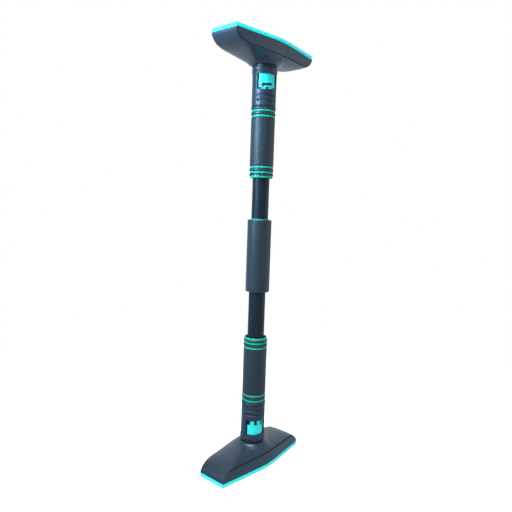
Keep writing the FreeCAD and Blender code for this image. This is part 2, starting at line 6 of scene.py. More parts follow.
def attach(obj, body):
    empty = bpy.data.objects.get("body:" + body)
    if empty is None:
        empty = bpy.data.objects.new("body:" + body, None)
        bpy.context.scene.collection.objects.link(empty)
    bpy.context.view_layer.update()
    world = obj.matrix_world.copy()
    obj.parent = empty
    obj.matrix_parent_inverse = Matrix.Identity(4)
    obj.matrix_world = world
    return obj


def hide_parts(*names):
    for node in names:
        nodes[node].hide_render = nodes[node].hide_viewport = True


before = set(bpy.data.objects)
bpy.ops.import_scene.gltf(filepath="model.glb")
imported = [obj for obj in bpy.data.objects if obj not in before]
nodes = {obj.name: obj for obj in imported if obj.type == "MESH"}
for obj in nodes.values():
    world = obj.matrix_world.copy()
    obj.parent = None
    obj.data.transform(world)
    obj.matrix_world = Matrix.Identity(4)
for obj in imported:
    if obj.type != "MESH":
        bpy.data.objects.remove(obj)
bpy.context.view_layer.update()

bpy.context.scene.view_settings.view_transform = "Standard"
bpy.ops.object.select_all(action="DESELECT")

# ------------------------------------------------------------------ camera
# Stands a little above the bar's middle, about 0.9 m away, and looks at it across the corner of
# the feet.  The slight roll makes the bar lean.
lens = bpy.data.cameras.new("camera")
lens.lens = 33.82
lens.sensor_width = 36.0
lens.shift_x = 0.0025
lens.shift_y = -0.0223
lens.clip_start = 0.01
lens.clip_end = 50.0
camera = bpy.data.objects.new("camera", lens)
camera.location = (-0.70802, -0.58342, 0.49798)
camera.rotation_euler = [math.radians(turn) for turn in (85.506, -1.935, -49.872)]
bpy.context.scene.collection.objects.link(camera)
bpy.context.scene.camera = camera

# ------------------------------------------------------------------ tools for materials
# Every finish below is built from nodes by these: arithmetic on wires, noise in the object's own
# space, soft ramps and blends of colours.


class Wire:
    """One output of a material's nodes.  Arithmetic on wires and numbers adds Math nodes."""

    def __init__(self, tree, socket=None):
        self.tree = tree
        self.socket = socket

    def node(self, kind, settings, values, output=0):
        """Adds a node: first its settings, then the value or the link of each socket."""
        made = self.tree.nodes.new("ShaderNode" + kind)
        for name, setting in settings.items():
            setattr(made, name, setting)
        for name, value in values.items():
            if isinstance(value, Wire):
                self.tree.links.new(value.socket, made.inputs[name])
            else:
                made.inputs[name].default_value = value
        if not made.outputs:
            return None
        return Wire(self.tree, made.outputs[output])

    def math(self, operation, first, second):
        return self.node("Math", {"operation": operation}, {0: first, 1: second})

    def __add__(self, other):
        return self.math("ADD", self, other)

    __radd__ = __add__

    def __sub__(self, other):
        return self.math("SUBTRACT", self, other)

    def __rsub__(self, other):
        return self.math("SUBTRACT", other, self)

    def __mul__(self, other):
        return self.math("MULTIPLY", self, other)

    __rmul__ = __mul__


def new_material(name):
    """An empty material and a wire to hang its nodes on."""
    material = bpy.data.materials.new(name)
    material.use_nodes = True
    material.node_tree.nodes.clear()
    return material, Wire(material.node_tree)


def noise(make, scale, detail=2.0, stretch=(1.0, 1.0, 1.0)):
    """Noise from 0 to 1 in the object's own space; scale is cells per metre."""
    place = make.node("TexCoord", {}, {}, "Object")
    place = make.node("Mapping", {}, {"Vector": place, "Scale": stretch})
    return make.node("TexNoise", {}, {"Vector": place, "Scale": scale, "Detail": detail})


def ramp(make, value, low, high):
    return make.node("MapRange", {"interpolation_type": "SMOOTHSTEP"}, {
        "Value": value, "From Min": low, "From Max": high})


def blend_colours(make, factor, first, second):
    return make.node("Mix", {"data_type": "RGBA"}, {0: factor, 6: first, 7: second}, 2)


def shaded(colour, factor):
    return tuple(min(1.0, part * factor) for part in colour[:3]) + (1.0,)


# ------------------------------------------------------------------ studio
# A white floor that runs out to a white surround, lit by broad soft panels: a narrow blue one
# high on the left, a weak one low on the right and a strong one overhead.  Glossy plastic sees a
# cool floor with a painted shadow that darkens it near the foot.
FLOOR_SIZE = 30.0
FLOOR_GAP = 0.0005                  # the floor lies just under the lower pad
SHADOW_REACH = (0.35, 1.1)          # radii between which the floor's own shading fades out, metres
TOWARDS_CAMERA = (-0.772, -0.636, 0.0)


def emission(make, colour, strength):
    return make.node("Emission", {}, {"Color": colour, "Strength": strength})


def seen_in_a_surface(make):
    """1 for rays that a reflection or a refraction sends out, 0 for the camera's and the light's."""
    return (make.node("LightPath", {}, {}, "Is Glossy Ray")
            + make.node("LightPath", {}, {}, "Is Transmission Ray"))


def floor_finish():
    """White with the bar's soft shadow near it; cool in reflections, with a painted shadow near it there."""
    material, make = new_material("studio_floor")
    spot = make.node("TexCoord", {}, {}, "Object")
    away = make.node("VectorMath", {"operation": "LENGTH"}, {0: spot}, "Value")
    fade = ramp(make, away, *SHADOW_REACH)
    lit = make.node("BsdfDiffuse", {}, {"Color": (0.8, 0.8, 0.8, 1.0)})
    dim = make.node("BsdfDiffuse", {}, {"Color": (0.45, 0.45, 0.45, 1.0)})
    near = make.node("AddShader", {}, {0: dim, 1: emission(make, (1.0, 1.0, 1.0, 1.0), 0.72)})
    white = emission(make, (1.0, 1.0, 1.0, 1.0), 1.0)
    shown = make.node("MixShader", {}, {0: fade, 1: near, 2: white})
    # painted shadow: in reflections the floor is darker near the bar, as if in the bar's shadow
    painted_floor_shadow = emission(make, (0.54, 0.78, 1.0, 1.0), 0.78)
    cool = emission(make, (0.64, 0.85, 1.0, 1.0), 1.0)
    reflected = make.node("MixShader", {}, {0: fade, 1: painted_floor_shadow, 2: cool})
    around = make.node("MixShader", {}, {0: seen_in_a_surface(make), 1: lit, 2: reflected})
    make.node("OutputMaterial", {}, {"Surface": make.node("MixShader", {}, {
        0: make.node("LightPath", {}, {}, "Is Camera Ray"), 1: around, 2: shown})})
    return material


def surround():
    """White to the camera, and a weak cool fill; reflections see it bright behind the camera."""
    world = bpy.data.worlds.new("studio")
    world.use_nodes = True
    world.node_tree.nodes.clear()
    make = Wire(world.node_tree)
    incoming = make.node("NewGeometry", {}, {}, "Incoming")
    towards = make.node("VectorMath", {"operation": "DOT_PRODUCT"}, {
        0: incoming, 1: TOWARDS_CAMERA}, "Value")
    bright = seen_in_a_surface(make) * ramp(make, towards, 0.3, 0.8)
    fill = make.node("Background", {}, {"Color": (0.72, 0.86, 1.0, 1.0), "Strength": 0.35})
    cool = make.node("Background", {}, {"Color": (0.82, 0.93, 1.0, 1.0), "Strength": 1.0})
    white = make.node("Background", {}, {"Color": (1.0, 1.0, 1.0, 1.0), "Strength": 1.0})
    around = make.node("MixShader", {}, {0: bright, 1: fill, 2: cool})
    make.node("OutputWorld", {}, {"Surface": make.node("MixShader", {}, {
        0: make.node("LightPath", {}, {}, "Is Camera Ray"), 1: around, 2: white})})
    return world


def light_panel(name, place, aim, width, height, spread, power, tint):
    """A soft box that looks at a point on the bar; a grid in front of it narrows its spread."""
    lamp = bpy.data.lights.new(name, "AREA")
    lamp.shape = "RECTANGLE"
    lamp.size = width
    lamp.size_y = height
    lamp.spread = math.radians(spread)
    lamp.energy = power
    lamp.color = tint
    panel = bpy.data.objects.new(name, lamp)
    panel.location = place
    panel.rotation_euler = (Vector(aim) - Vector(place)).to_track_quat("-Z", "Y").to_euler()
    bpy.context.scene.collection.objects.link(panel)


bpy.ops.mesh.primitive_plane_add(size=FLOOR_SIZE, location=(0.0, 0.0, 0.0))
floor = bpy.context.object
floor.name = "studio_floor"
floor.data.transform(Matrix.Translation((0.0, 0.0, -FLOOR_GAP)))
floor.data.materials.append(floor_finish())
bpy.ops.object.select_all(action="DESELECT")
bpy.context.scene.world = surround()
light_panel("left_panel", (-1.58, 0.50, 1.30), (0.0, 0.0, 0.98), 0.8, 1.0, 50.0, 12.0, (0.35, 0.71, 1.0))
light_panel("right_panel", (1.3, -1.5, 0.55), (0.0, 0.0, 0.2), 0.8, 1.6, 180.0, 6.5, (0.75, 0.90, 1.0))
light_panel("top_panel", (-0.95, -0.2, 2.2), (0.0, 0.0, 0.4), 1.5, 1.5, 180.0, 76.0, (0.84, 0.94, 1.0))

# ------------------------------------------------------------------ tools for pieces
# Modelling steps that several pieces share.  Profiles and sizes are in millimetres, levels are
# above the lower pad's outer face, and each end piece is modelled at the lower end and mirrored.
MM = 0.001
BAR_LENGTH = 800.0
TURN_STEPS = 144


def pick(piece, kind, wanted):
    """Leaves the piece in edit mode with only the chosen faces, edges or vertices selected."""
    bpy.ops.object.mode_set(mode="EDIT")
    bpy.ops.mesh.select_mode(type=kind)
    bpy.ops.mesh.select_all(action="DESELECT")
    bpy.ops.object.mode_set(mode="OBJECT")
    mesh = piece.data
    parts = {"VERT": mesh.vertices, "EDGE": mesh.edges, "FACE": mesh.polygons}[kind]
    for part in parts:
        part.select = wanted(part)
    bpy.ops.object.mode_set(mode="EDIT")


def apply_modifier(piece, kind, **settings):
    modifier = piece.modifiers.new(kind.lower(), kind)
    for name, setting in settings.items():
        setattr(modifier, name, setting)
    bpy.context.view_layer.objects.active = piece
    bpy.ops.object.modifier_apply(modifier=modifier.name)


def smooth(piece, degrees):
    bpy.ops.object.select_all(action="DESELECT")
    piece.select_set(True)
    bpy.context.view_layer.objects.active = piece
    bpy.ops.object.shade_smooth_by_angle(angle=math.radians(degrees))
    bpy.ops.object.select_all(action="DESELECT")


def mirrored_twin(piece, name):
    """The same piece at the other end of the bar, as a mirrored copy with a mesh of its own."""
    twin = piece.copy()
    twin.data = piece.data.copy()
    twin.name = name
    bpy.context.scene.collection.objects.link(twin)
    twin.data.transform(Matrix.Translation((0.0, 0.0, BAR_LENGTH * MM))
                        @ Matrix.Scale(-1.0, 4, (0.0, 0.0, 1.0)))
    twin.data.flip_normals()
    return twin


def fit(piece, material, slot, body, *replaced):
    """Gives a finished piece its material and its place in the assembly."""
    piece.data.materials.clear()
    piece.data.materials.append(material)
    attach(piece, body)
    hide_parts(*replaced)


def fit_both_ends(piece, name, material, slot, body, node):
    """Fits a piece made at the lower end, and its twin at the upper end."""
    upper = mirrored_twin(piece, "upper_" + name)
    fit(piece, material, slot, "lower_" + body, "lower_" + node)
    fit(upper, material, slot, "upper_" + body, "upper_" + node)
    return upper


def repaint(material, *names):
    """Puts a material on pieces that keep their CAD shape, at both ends or in the middle."""
    for name in names:
        for node in (name, "lower_" + name, "upper_" + name):
            if node in nodes:
                for slot in nodes[node].material_slots:
                    slot.material = material


def lathe(name, outline, rounding=0.0, azimuth=0.0, angle=360.0, steps=TURN_STEPS):
    """Spins a closed outline of (radius, height) about the bar's axis; corners rounded first."""
    bpy.ops.object.select_all(action="DESELECT")
    bpy.ops.mesh.primitive_circle_add(vertices=len(outline), radius=0.01,
                                      fill_type="NOTHING" if angle == 360.0 else "NGON")
    piece = bpy.context.object
    piece.name = name
    start = math.radians(azimuth + (0.0 if angle == 360.0 else angle / 2.0))
    for vertex, (radius, height) in zip(piece.data.vertices, outline):
        vertex.co = Vector((radius * math.cos(start), radius * math.sin(start), height)) * MM
    bpy.ops.object.mode_set(mode="EDIT")
    bpy.ops.mesh.select_all(action="SELECT")
    if rounding:
        bpy.ops.mesh.bevel(offset=rounding * MM, segments=2, affect="VERTICES")
        bpy.ops.mesh.select_all(action="SELECT")
    bpy.ops.mesh.spin(steps=steps, angle=math.radians(angle), center=(0.0, 0.0, 0.0),
                      axis=(0.0, 0.0, 1.0), use_auto_merge=False)
    bpy.ops.mesh.select_all(action="SELECT")
    bpy.ops.mesh.remove_doubles(threshold=1e-6)
    bpy.ops.mesh.normals_make_consistent(inside=False)
    bpy.ops.object.mode_set(mode="OBJECT")
    return piece


# ------------------------------------------------------------------ foot pads
# Thick turquoise rubber sheets, cut to the long six-sided shape of the feet and bonded under them.
# The outer face has a row of shallow cross grooves inside a plain border, so that it grips the
# door jamb.
FOOT_HALF_LENGTH = 111.5
END_HALF_WIDTH = 28.9
SIDE_HALF_WIDTH = 40.15             # where the long sides begin to round
SIDE_ROUND = 25.0                   # half length of the rounded part
PAD_THICKNESS = 6.5
PAD_COLUMNS = 112
PAD_ROWS = 22
CELL = 2.0 * FOOT_HALF_LENGTH / PAD_COLUMNS
GROOVE_PITCH = 4                    # cells from one cross groove to the next
GROOVE_DEPTH = 1.1
PAD_BORDER = 6.0
TURQUOISE = (0.036, 0.88, 0.81, 1.0)


def half_width(x):
    """Half the foot's width at a distance along it, at the level of the pad."""
    slope = (SIDE_HALF_WIDTH - END_HALF_WIDTH) / (FOOT_HALF_LENGTH - SIDE_ROUND)
    if abs(x) > SIDE_ROUND:
        return END_HALF_WIDTH + slope * (FOOT_HALF_LENGTH - abs(x))
    return SIDE_HALF_WIDTH + slope * (SIDE_ROUND ** 2 - x * x) / (2.0 * SIDE_ROUND)


def turquoise_rubber():
    """Soft moulded rubber: matt, finely grained, a little dusty where it is handled."""
    material, make = new_material("turquoise_rubber")
    cloud = noise(make, 16.0, 3.0)
    dust = ramp(make, noise(make, 60.0, 6.0), 0.58, 0.78)
    grain = noise(make, 1700.0, 2.0)
    colour = blend_colours(make, cloud, shaded(TURQUOISE, 0.93), shaded(TURQUOISE, 1.05))
    colour = blend_colours(make, dust * 0.10, colour, (0.45, 0.62, 0.62, 1.0))
    normal = make.node("Bump", {}, {"Strength": 0.4, "Distance": 0.00008, "Height": grain})
    shader = make.node("BsdfPrincipled", {}, {
        "Base Color": colour, "Roughness": 0.55 + 0.1 * cloud + 0.12 * dust, "Normal": normal,
        "Specular IOR Level": 0.4})
    make.node("OutputMaterial", {}, {"Surface": shader})
    return material


bpy.ops.mesh.primitive_grid_add(x_subdivisions=PAD_COLUMNS, y_subdivisions=PAD_ROWS, size=2.0)
pad = bpy.context.object
pad.name = "lower_rubber_pad"
for vertex in pad.data.vertices:
    along_foot = vertex.co.x * FOOT_HALF_LENGTH
    vertex.co = (along_foot * MM, vertex.co.y * half_width(along_foot) * MM, 0.0)
bpy.ops.object.mode_set(mode="EDIT")
bpy.ops.mesh.select_all(action="SELECT")
bpy.ops.mesh.extrude_region_move(TRANSFORM_OT_translate={"value": (0.0, 0.0, PAD_THICKNESS * MM)})
bpy.ops.mesh.select_all(action="SELECT")
bpy.ops.mesh.normals_make_consistent(inside=False)
bpy.ops.object.mode_set(mode="OBJECT")


def in_groove(face):
    x, y, z = face.center / MM
    column = math.floor((x + FOOT_HALF_LENGTH) / CELL)
    inside = abs(y) < half_width(x) - PAD_BORDER and abs(x) < FOOT_HALF_LENGTH - PAD_BORDER
    return z < 0.1 and face.normal.z < -0.5 and inside and column % GROOVE_PITCH == 1


pick(pad, "FACE", in_groove)
bpy.ops.mesh.extrude_region_move(TRANSFORM_OT_translate={"value": (0.0, 0.0, GROOVE_DEPTH * MM)})
bpy.ops.object.mode_set(mode="OBJECT")
apply_modifier(pad, "BEVEL", width=0.45 * MM, segments=2, limit_method="ANGLE",
               angle_limit=math.radians(40.0))
smooth(pad, 35.0)
rubber = turquoise_rubber()
fit_both_ends(pad, "rubber_pad", rubber, "turquoise_rubber", "foot", "foot_pad")

# ------------------------------------------------------------------ foot plates, spindles and screws
# Zinc-plated steel inside each foot: the plate that spreads the load over the pad, the spindle
# welded on it, and the screws that hold the shell and the lock housing on the plate.


def plated_steel(name, colour, roughness, stretch):
    """Metal with fine tool marks; stretch says which way they run."""
    material, make = new_material(name)
    marks = noise(make, 45.0, 4.0, stretch)
    cloud = noise(make, 35.0, 3.0)
    tone = blend_colours(make, cloud, shaded(colour, 0.86), shaded(colour, 1.06))
    normal = make.node("Bump", {}, {"Strength": 0.25, "Distance": 0.00005, "Height": marks})
    shader = make.node("BsdfPrincipled", {}, {
        "Base Color": tone, "Metallic": 1.0, "Normal": normal,
        "Roughness": roughness + 0.14 * marks + 0.08 * cloud})
    make.node("OutputMaterial", {}, {"Surface": shader})
    return material


zinc = plated_steel("zinc_plate", (0.56, 0.57, 0.59, 1.0), 0.28, (1.0, 1.0, 26.0))
repaint(zinc, "foot_plate", "foot_spindle", "shell_screws", "housing_screws")

# ------------------------------------------------------------------ foot shells
# Injection-moulded plastic covers, hollow underneath: a steep toe at each short end, a crowned
# back that rises to the collar, and side walls that meet the back along a fine groove.
SIDE_LEAN = math.tan(math.radians(1.5))
CREASE_HEIGHT = ((0.0, 9.8), (1.2, 12.4), (3.0, 15.2), (5.5, 18.0), (8.0, 20.2), (11.0, 22.2),
                 (14.0, 23.7), (18.0, 25.1), (22.0, 25.9), (28.0, 26.7), (35.0, 27.2),
                 (55.0, 27.6), (86.5, 28.5), (98.0, 29.2), (111.5, 29.6), (125.0, 29.4))
CROWN_HEIGHT = ((0.0, 0.4), (1.2, 0.5), (3.0, 0.7), (5.5, 0.9), (8.0, 1.1), (11.0, 1.3),
                (14.0, 1.6), (18.0, 2.0), (22.0, 2.5), (28.0, 3.3), (35.0, 4.2), (55.0, 6.4),
                (86.5, 10.4), (98.0, 11.0), (111.5, 11.0), (125.0, 11.0))
CROWN_POWER = ((0.0, 2.8), (22.0, 2.8), (60.0, 2.3), (111.5, 2.1), (125.0, 2.1))
NECK_HEIGHT = ((24.0, 42.8), (24.9, 41.9), (26.2, 40.9), (28.2, 39.3), (32.0, 36.9), (36.6, 32.4),
               (45.0, 24.0), (130.0, -50.0))
NECK_RADIUS = 24.9
NECK_BLEND = 1.6
SHELL_WALL = 3.2
SHELL_BASE = PAD_THICKNESS + 0.05
EDGE_INSET = 0.8                    # the back's edge stops this far inside the side walls
RIM = ((22.4, 38.2), (22.4, 41.8), (22.8, 42.2), (24.3, 42.2), (24.9, 41.9))
GROOVE_SINK = 2.2                   # depth of the groove along the long sides
GROOVE_GAP = 1.5                    # its width
GROOVE_RUN_IN = 5.0                 # distance from a short end over which it reaches full depth
BACK_ROWS = 42
WALL_ROWS = 7
INNER_ROWS = 10
END_STEPS = 24
SIDE_STEPS = 96
SLATE = (0.016, 0.026, 0.042, 1.0)


def along(table, distance):
    """Smooth curve through a table of (distance, value)."""
    last = len(table) - 1
    first = max(k for k in range(last) if table[k][0] <= max(distance, table[0][0]))
    (x0, y0), (x1, y1) = table[first], table[first + 1]
    slopes = []
    for k in (first, first + 1):
        before, after = table[max(k - 1, 0)], table[min(k + 1, last)]
        slopes.append((after[1] - before[1]) / (after[0] - before[0]))
    span = x1 - x0
    t = (distance - x0) / span
    return ((1 + 2 * t) * (1 - t) ** 2 * y0 + t * (1 - t) ** 2 * span * slopes[0]
            + t * t * (3 - 2 * t) * y1 - t * t * (1 - t) * span * slopes[1])


def crease_half_width(x):
    height = along(CREASE_HEIGHT, FOOT_HALF_LENGTH - abs(x))
    return half_width(x) - (height - PAD_THICKNESS) * SIDE_LEAN


def back_height(x, y, blend):
    """Height of the shell's back; near the collar the flared neck takes over."""
    s = FOOT_HALF_LENGTH - abs(x)
    share = min(1.0, abs(y) / crease_half_width(x))
    body = along(CREASE_HEIGHT, s) + along(CROWN_HEIGHT, s) * (1.0 - share ** along(CROWN_POWER, s))
    neck = along(NECK_HEIGHT, math.hypot(x, y))
    return 0.5 * (body + neck + math.hypot(body - neck, blend))


def shell_outline():
    """Points round the foot: x and y at the pad, then 0 on a short end or the sign of a side."""
    points = []
    for turn in (1.0, -1.0):
        for step in range(END_STEPS):
            y = END_HALF_WIDTH * (2.0 * step / END_STEPS - 1.0)
            points.append((FOOT_HALF_LENGTH * turn, y * turn, 0.0 if step else -turn))
        for step in range(SIDE_STEPS):
            u = 1.0 - 2.0 * step / SIDE_STEPS
            x = FOOT_HALF_LENGTH * (1.25 * u - 0.25 * u ** 3)
            points.append((x * turn, half_width(x) * turn, turn))
    return points


def shell_profile(x, y, side):
    """The closed section of the shell's wall at one point of its outline."""
    s = FOOT_HALF_LENGTH - abs(x)
    top = along(CREASE_HEIGHT, s)
    end_sign = math.copysign(1.0, x)
    crease_y = y * crease_half_width(x) / END_HALF_WIDTH
    if side:
        crease_y = math.copysign(crease_half_width(x), y)
    bearing = math.atan2(crease_y, x)
    start = Vector((math.cos(bearing), math.sin(bearing))) * NECK_RADIUS
    points = [(r * math.cos(bearing), r * math.sin(bearing), z) for r, z in RIM]
    grow = min(1.0, s / GROOVE_RUN_IN) if side else 0.0
    inset = EDGE_INSET + (GROOVE_GAP - 0.3) * grow
    edge = Vector((x - EDGE_INSET * end_sign, crease_y))
    if side:
        edge = Vector((x, crease_y - math.copysign(inset, y)))
    for row in range(1, BACK_ROWS + 1):
        u = row / BACK_ROWS
        t = u - 0.12 * math.sin(math.tau * u)
        spot = start.lerp(edge, t)
        points.append((spot.x, spot.y, back_height(spot.x, spot.y, NECK_BLEND * (1.0 - t) + 0.05)))

    def wall(z, inset):
        """A point of the side wall, or of the short end's upright face."""
        if side:
            return (x, math.copysign(half_width(x) - (z - PAD_THICKNESS) * SIDE_LEAN - inset, y), z)
        share = 1.0 - (z - PAD_THICKNESS) * SIDE_LEAN / END_HALF_WIDTH
        return (x - inset * end_sign, y * share, z)

    floor_level = top - 0.12 - GROOVE_SINK * grow
    points.append(wall(floor_level, 0.3 + GROOVE_GAP * grow))
    points.append(wall(floor_level - 0.02, 0.25 + 0.3 * grow))
    lip_level = top - 0.4 - 0.7 * grow
    points.append(wall(lip_level + 0.2, 0.15 + 0.15 * grow))
    points.append(wall(lip_level, 0.0))
    for row in range(1, WALL_ROWS + 1):
        points.append(wall(lip_level + (PAD_THICKNESS + 0.6 - lip_level) * row / WALL_ROWS, 0.0))
    points.append(wall(SHELL_BASE, 0.4))
    inner_x = x * (FOOT_HALF_LENGTH - SHELL_WALL) / FOOT_HALF_LENGTH
    inner_half = crease_half_width(inner_x) - SHELL_WALL
    base_half = half_width(inner_x) - SHELL_WALL
    share = math.copysign(1.0, y) if side else y / END_HALF_WIDTH
    points.append((inner_x, base_half * share, SHELL_BASE))
    inner = Vector((inner_x, inner_half * share))
    for row in range(INNER_ROWS):
        spot = inner.lerp(start * 1.02, row / INNER_ROWS)
        points.append((spot.x, spot.y, back_height(spot.x, spot.y, NECK_BLEND) - SHELL_WALL))
    return points


def moulded_plastic(name, colour, roughness, specular=0.42):
    """Spark-eroded mould finish: fine grain, faint flow clouds and a few pale scuffs."""
    material, make = new_material(name)
    cloud = noise(make, 14.0, 3.0)
    grain = noise(make, 1500.0, 3.0)
    streaks = ramp(make, noise(make, 70.0, 5.0, (1.0, 1.0, 0.22)), 0.60, 0.74)
    rubs = ramp(make, noise(make, 22.0, 4.0), 0.56, 0.72)
    worn = streaks * rubs * 0.5
    tone = blend_colours(make, cloud, shaded(colour, 0.92), shaded(colour, 1.08))
    tone = blend_colours(make, worn * 0.35, tone, shaded(colour, 2.4))
    height = grain + 0.15 * cloud
    normal = make.node("Bump", {}, {"Strength": 0.5, "Distance": 0.00007, "Height": height})
    shader = make.node("BsdfPrincipled", {}, {
        "Base Color": tone, "Normal": normal, "Specular IOR Level": specular,
        "Roughness": roughness + 0.10 * (cloud - 0.5) + 0.12 * worn})
    make.node("OutputMaterial", {}, {"Surface": shader})
    return material


profiles = [shell_profile(*point) for point in shell_outline()]
rows = len(profiles[0])
bpy.ops.mesh.primitive_torus_add(major_segments=len(profiles), minor_segments=rows)
shell = bpy.context.object
shell.name = "lower_moulded_shell"
for vertex in shell.data.vertices:
    column, row = divmod(vertex.index, rows)
    vertex.co = Vector(profiles[column][row]) * MM
bpy.ops.object.mode_set(mode="EDIT")
bpy.ops.mesh.select_all(action="SELECT")
bpy.ops.mesh.normals_make_consistent(inside=False)
bpy.ops.object.mode_set(mode="OBJECT")
smooth(shell, 32.0)
shell_slate = moulded_plastic("slate_shell_plastic", SLATE, 0.34, 0.62)
fit_both_ends(shell, "moulded_shell", shell_slate, "slate_plastic", "foot", "foot_shell")

# ------------------------------------------------------------------ bearing of the sleeve
# A hard white plastic washer and a spring-steel ring hold the sleeve on its spindle.


def machined_plastic(name, colour, roughness):
    material, make = new_material(name)
    rings = noise(make, 60.0, 3.0, (1.0, 1.0, 30.0))
    cloud = noise(make, 25.0, 2.0)
    tone = blend_colours(make, cloud, shaded(colour, 0.94), shaded(colour, 1.04))
    normal = make.node("Bump", {}, {"Strength": 0.3, "Distance": 0.00006, "Height": rings})
    shader = make.node("BsdfPrincipled", {}, {
        "Base Color": tone, "Normal": normal, "Roughness": roughness + 0.12 * rings})
    make.node("OutputMaterial", {}, {"Surface": shader})
    return material


white_plastic = machined_plastic("white_plastic", (0.75, 0.75, 0.72, 1.0), 0.38)
spring_steel = plated_steel("spring_steel", (0.22, 0.23, 0.26, 1.0), 0.30, (1.0, 1.0, 20.0))
repaint(white_plastic, "thrust_washer", "bearing_hub")
repaint(spring_steel, "circlip", "lock_spring")

# ------------------------------------------------------------------ lock housings
# Moulded collars of the same slate plastic, screwed down inside the feet.  Each has a window with
# rounded corners for the lock slider, and two finger grooves across its front and its back.
WINDOW_AZIMUTH = -120.25
WINDOW_ANGLE = 111.5
WINDOW_LEVELS = (58.8, 87.0)
WINDOW_CORNERS = (3.0, 1.6)         # radii next to the foot and next to the grip
WINDOW_STEPS = 52
FINGER_GROOVES = (98.2, 107.2)
FINGER_DEPTH = 1.7
FINGER_RUN_OUT = 4.0                # degrees over which each finger groove ends
FINGER_PROFILE = ((-2.2, 0.0), (-1.8, 0.35), (-1.3, 0.85), (-0.7, 1.0), (0.0, 1.0), (0.7, 1.0),
                  (1.3, 0.85), (1.8, 0.35), (2.2, 0.0))
HOUSING_RADIUS = 22.6
CUTTER_RADII = (19.0, 25.0)
HOUSING_OUTLINE = [
    (20.2, 9.5), (34.0, 9.5), (34.0, 12.5), (22.0, 12.5), (22.0, 41.0), (20.9, 41.5), (20.9, 46.8),
    (23.1, 47.0), (23.7, 47.8), (23.7, 54.4), (23.1, 55.4), (22.9, 57.4), (HOUSING_RADIUS, 72.0),
    (HOUSING_RADIUS, 90.0)]
for groove in FINGER_GROOVES:
    HOUSING_OUTLINE += [(HOUSING_RADIUS, groove + level) for level, share in FINGER_PROFILE]
HOUSING_OUTLINE += [(HOUSING_RADIUS, 112.5), (HOUSING_RADIUS, 115.6), (21.9, 116.3), (20.2, 116.3)]


def off_window(x, y, turn=360.0):
    """Degrees round the bar from the window's middle; with a turn of 180, or from its opposite."""
    bearing = math.degrees(math.atan2(y, x))
    return (bearing - WINDOW_AZIMUTH + turn / 2.0) % turn - turn / 2.0


def cut_finger_grooves(piece):
    """Sinks the levels of the finger grooves into the front and the back of the collar."""
    for vertex in piece.data.vertices:
        x, y, z = vertex.co / MM
        radius = math.hypot(x, y)
        if radius < HOUSING_RADIUS - 0.1:
            continue
        inside = WINDOW_ANGLE / 2.0 - abs(off_window(x, y, 180.0))
        run_out = min(1.0, max(0.0, inside / FINGER_RUN_OUT))
        for groove in FINGER_GROOVES:
            for level, share in FINGER_PROFILE:
                if abs(z - groove - level) < 0.01:
                    depth = FINGER_DEPTH * run_out * share
                    vertex.co.x -= depth * x / radius * MM
                    vertex.co.y -= depth * y / radius * MM


def on_window_corner(edge, level):
    """True for the two radial edges of the cutter that lie at one level, at the ends of its arc."""
    ends = [cutter.data.vertices[index].co / MM for index in edge.vertices]
    flat = all(abs(end.z - level) < 0.01 for end in ends)
    radial = abs(ends[0].to_2d().length - ends[1].to_2d().length) > 3.0
    at_end = abs(abs(off_window(ends[0].x, ends[0].y)) - WINDOW_ANGLE / 2.0) < 0.3
    return flat and radial and at_end


slate = moulded_plastic("slate_plastic", SLATE, 0.40)
collar = lathe("lower_lock_collar", HOUSING_OUTLINE)
cut_finger_grooves(collar)
cutter = lathe("window_cutter", [
    (CUTTER_RADII[0], WINDOW_LEVELS[0]), (CUTTER_RADII[1], WINDOW_LEVELS[0]),
    (CUTTER_RADII[1], WINDOW_LEVELS[1]), (CUTTER_RADII[0], WINDOW_LEVELS[1])],
    azimuth=WINDOW_AZIMUTH, angle=WINDOW_ANGLE, steps=WINDOW_STEPS)
for level, corner in zip(WINDOW_LEVELS, WINDOW_CORNERS):
    pick(cutter, "EDGE", lambda edge: on_window_corner(edge, level))
    bpy.ops.mesh.bevel(offset=corner * MM, segments=6, affect="EDGES")
    bpy.ops.object.mode_set(mode="OBJECT")
apply_modifier(collar, "BOOLEAN", operation="DIFFERENCE", solver="EXACT", object=cutter)
bpy.data.objects.remove(cutter)
apply_modifier(collar, "BEVEL", width=0.3 * MM, segments=2, limit_method="ANGLE",
               angle_limit=math.radians(50.0))
smooth(collar, 32.0)
fit_both_ends(collar, "lock_collar", slate, "slate_plastic", "foot", "lock_housing")

# ------------------------------------------------------------------ lock sliders
# Curved turquoise plates that show through the windows; their slots take the teeth of the lock
# ring.  The upper one is printed with a black arrow that says which way to turn.
ARROW_RADIUS = 19.87
ARROW_AZIMUTH = -124.0
ARROW_LEVEL = 721.9
ARROW_TILT = 0.1                    # the print rises towards the arrow's tail
ARROW_THICKNESS = 0.07
ARROW_COLUMNS = ((-12.4, 0.13), (-11.2, 1.09), (-10.0, 2.05), (-8.8, 3.01), (-7.6, 3.97), (-6.4, 4.93),
                 (-6.35, 2.5), (-4.5, 2.5), (-2.5, 2.5), (-0.5, 2.5), (1.5, 2.5), (3.5, 2.5),
                 (5.5, 2.5), (7.4, 2.5), (9.3, 2.5))


def gloss_plastic(name, colour, roughness):
    """Bright moulded plastic with a faint orange peel and finger marks."""
    material, make = new_material(name)
    cloud = noise(make, 30.0, 3.0)
    marks = ramp(make, noise(make, 90.0, 5.0), 0.52, 0.75)
    grain = noise(make, 900.0, 2.0)
    tone = blend_colours(make, cloud, shaded(colour, 0.94), shaded(colour, 1.05))
    normal = make.node("Bump", {}, {"Strength": 0.35, "Distance": 0.00005, "Height": grain})
    shader = make.node("BsdfPrincipled", {}, {
        "Base Color": tone, "Normal": normal, "Specular IOR Level": 0.35,
        "Roughness": roughness + 0.10 * cloud + 0.10 * marks})
    make.node("OutputMaterial", {}, {"Surface": shader})
    return material


turquoise_plastic = gloss_plastic("turquoise_plastic", shaded(TURQUOISE, 0.8), 0.34)
repaint(turquoise_plastic, "lock_slider")

